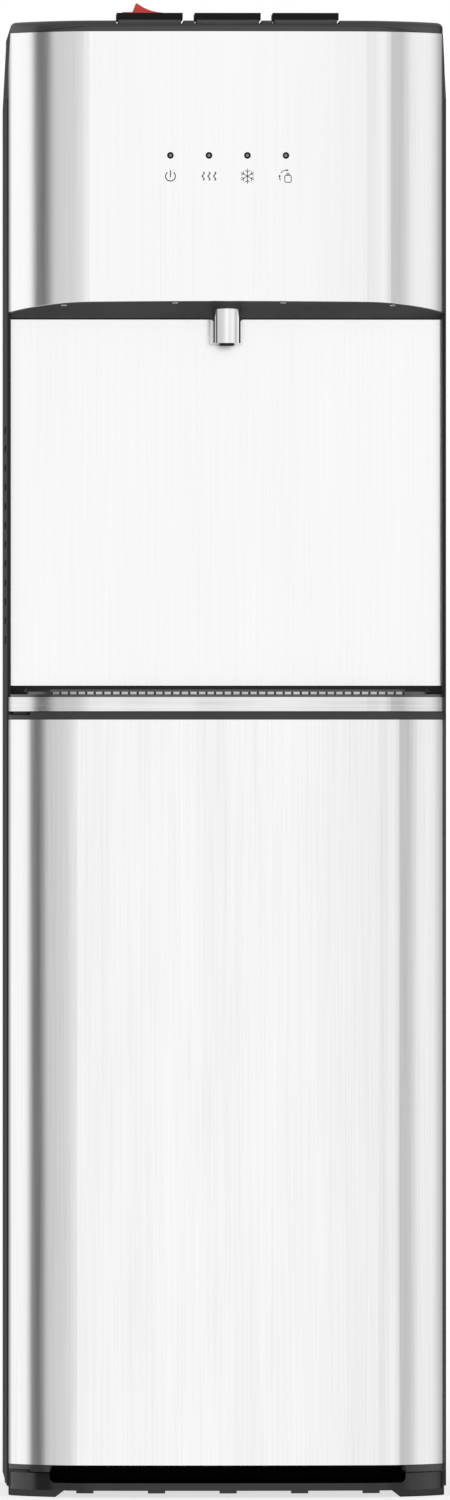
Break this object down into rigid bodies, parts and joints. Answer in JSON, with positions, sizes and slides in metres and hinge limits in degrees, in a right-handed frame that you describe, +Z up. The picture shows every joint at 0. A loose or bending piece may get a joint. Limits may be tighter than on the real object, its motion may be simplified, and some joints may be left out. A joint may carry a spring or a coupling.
{
  "type": "bottom-loading water cooler",
  "caption": "Tall bottom-loading water cooler: bowed steel front, cup alcove with drip tray, push paddles on top, hinged lower door for the bottle and a coil condenser behind.",
  "frame": {"origin": "on the floor, at the middle of the cooler's footprint", "axes": "+X to the right as seen from the front, +Y to the back, +Z up"},
  "size_m": [0.308, 0.36, 1.0447],
  "materials": {
    "stainless": "brushed, upright grain",
    "black_plastic": "fine moulded grain",
    "black_paint": "powder coat",
    "zinc_sheet": "zinc coated",
    "plain_steel": "satin",
    "white_plastic": "moulded",
    "chrome": "polished",
    "red_plastic": "glossy",
    "rubber": "matt",
    "silicone": "milky",
    "copper": "drawn tube",
    "aluminium": "rolled",
    "foam": "moulded foam",
    "board": "solder mask",
    "lens": "clear",
    "magnet": "moulded"
  },
  "bodies": {
    "cabinet": {"alcove_liner": "black_plastic", "base_plinth": "black_plastic", "bottle_floor": "black_plastic", "cold_tank": "plain_steel", "compressor": "black_paint", "compressor_mounts": "rubber", "condenser_coil": "black_paint", "condenser_wires": "black_paint", "control_board": "board", "cord_gland": "black_plastic", "drain_pipe": "plain_steel", "drip_ledge": "black_plastic", "evaporator_jacket": "aluminium", "feed_hoses": "silicone", "filter_drier": "copper", "foam_jacket": "foam", "foam_lid": "foam", "foot_pads": "rubber", "hood_carrier": "black_plastic", "hood_skin": "stainless", "hood_underside": "black_plastic", "hot_tank": "plain_steel", "indicator_lenses": "lens", "ledge_trim": "stainless", "left_side_panel": "black_paint", "lower_hinge": "black_paint", "machine_deck": "zinc_sheet", "outlet_hoses": "silicone", "outlet_manifold": "white_plastic", "paddle_shaft": "plain_steel", "probe": "white_plastic", "probe_hose": "silicone", "rear_panel": "black_paint", "recess_panel": "stainless", "refrigerant_lines": "copper", "right_side_panel": "black_paint", "spout": "chrome", "spout_nozzle": "black_plastic", "switch_housing": "black_plastic", "tank_bracket": "zinc_sheet", "tap_valves": "white_plastic", "top_cover": "black_plastic", "upper_hinge": "black_paint", "wall_spacers": "black_plastic", "water_pump": "white_plastic"},
    "door": {"door_skin": "stainless", "door_liner": "black_plastic", "door_top_cap": "black_plastic", "door_bottom_cap": "black_plastic", "door_magnet": "magnet"},
    "hot_paddle": {"hot_paddle": "black_plastic"},
    "room_paddle": {"room_paddle": "black_plastic"},
    "cold_paddle": {"cold_paddle": "black_plastic"},
    "child_lock": {"child_lock": "red_plastic"},
    "drip_tray": {"drip_tray": "black_plastic"},
    "drip_grille": {"drip_grille": "plain_steel"},
    "heat_rocker": {"heat_rocker": "black_plastic"},
    "cool_rocker": {"cool_rocker": "black_plastic"},
    "light_rocker": {"light_rocker": "black_plastic"},
    "drain_cap": {"drain_cap": "black_plastic"}
  },
  "joints": [
    {"name": "door_hinge", "type": "hinge", "parent": "cabinet", "child": "door", "pos_m": [-0.1415, -0.14139, 0.28], "axis": [0, 0, -1], "range_deg": [0, 110]},
    {"name": "hot_press", "type": "hinge", "parent": "cabinet", "child": "hot_paddle", "pos_m": [0, -0.124, 1.0235], "axis": [1, 0, 0], "range_deg": [0, 5], "stiffness_Nm_per_rad": 2, "springref_deg": -3.44},
    {"name": "room_press", "type": "hinge", "parent": "cabinet", "child": "room_paddle", "pos_m": [0, -0.124, 1.0235], "axis": [1, 0, 0], "range_deg": [0, 5], "stiffness_Nm_per_rad": 2, "springref_deg": -3.44},
    {"name": "cold_press", "type": "hinge", "parent": "cabinet", "child": "cold_paddle", "pos_m": [0, -0.124, 1.0235], "axis": [1, 0, 0], "range_deg": [0, 5], "stiffness_Nm_per_rad": 2, "springref_deg": -3.44},
    {"name": "lock_slide", "type": "slide", "parent": "hot_paddle", "child": "child_lock", "axis": [1, 0, 0], "range_m": [0, 0.01], "stiffness_N_per_m": 60, "springref_m": -0.004},
    {"name": "tray_lift", "type": "slide", "parent": "cabinet", "child": "drip_tray", "axis": [0, 0, 1], "range_m": [0, 0.06]},
    {"name": "grille_lift", "type": "slide", "parent": "drip_tray", "child": "drip_grille", "axis": [0, 0, 1], "range_m": [0, 0.04]},
    {"name": "heat_tip", "type": "hinge", "parent": "cabinet", "child": "heat_rocker", "pos_m": [0.066, 0.1495, 0.9], "axis": [1, 0, 0], "range_deg": [0, 16]},
    {"name": "cool_tip", "type": "hinge", "parent": "cabinet", "child": "cool_rocker", "pos_m": [0.09, 0.1495, 0.9], "axis": [1, 0, 0], "range_deg": [0, 16]},
    {"name": "light_tip", "type": "hinge", "parent": "cabinet", "child": "light_rocker", "pos_m": [0.114, 0.1495, 0.9], "axis": [1, 0, 0], "range_deg": [0, 16]},
    {"name": "drain_cap_pull", "type": "slide", "parent": "cabinet", "child": "drain_cap", "axis": [0, 1, 0], "range_m": [0, 0.025]}
  ]
}
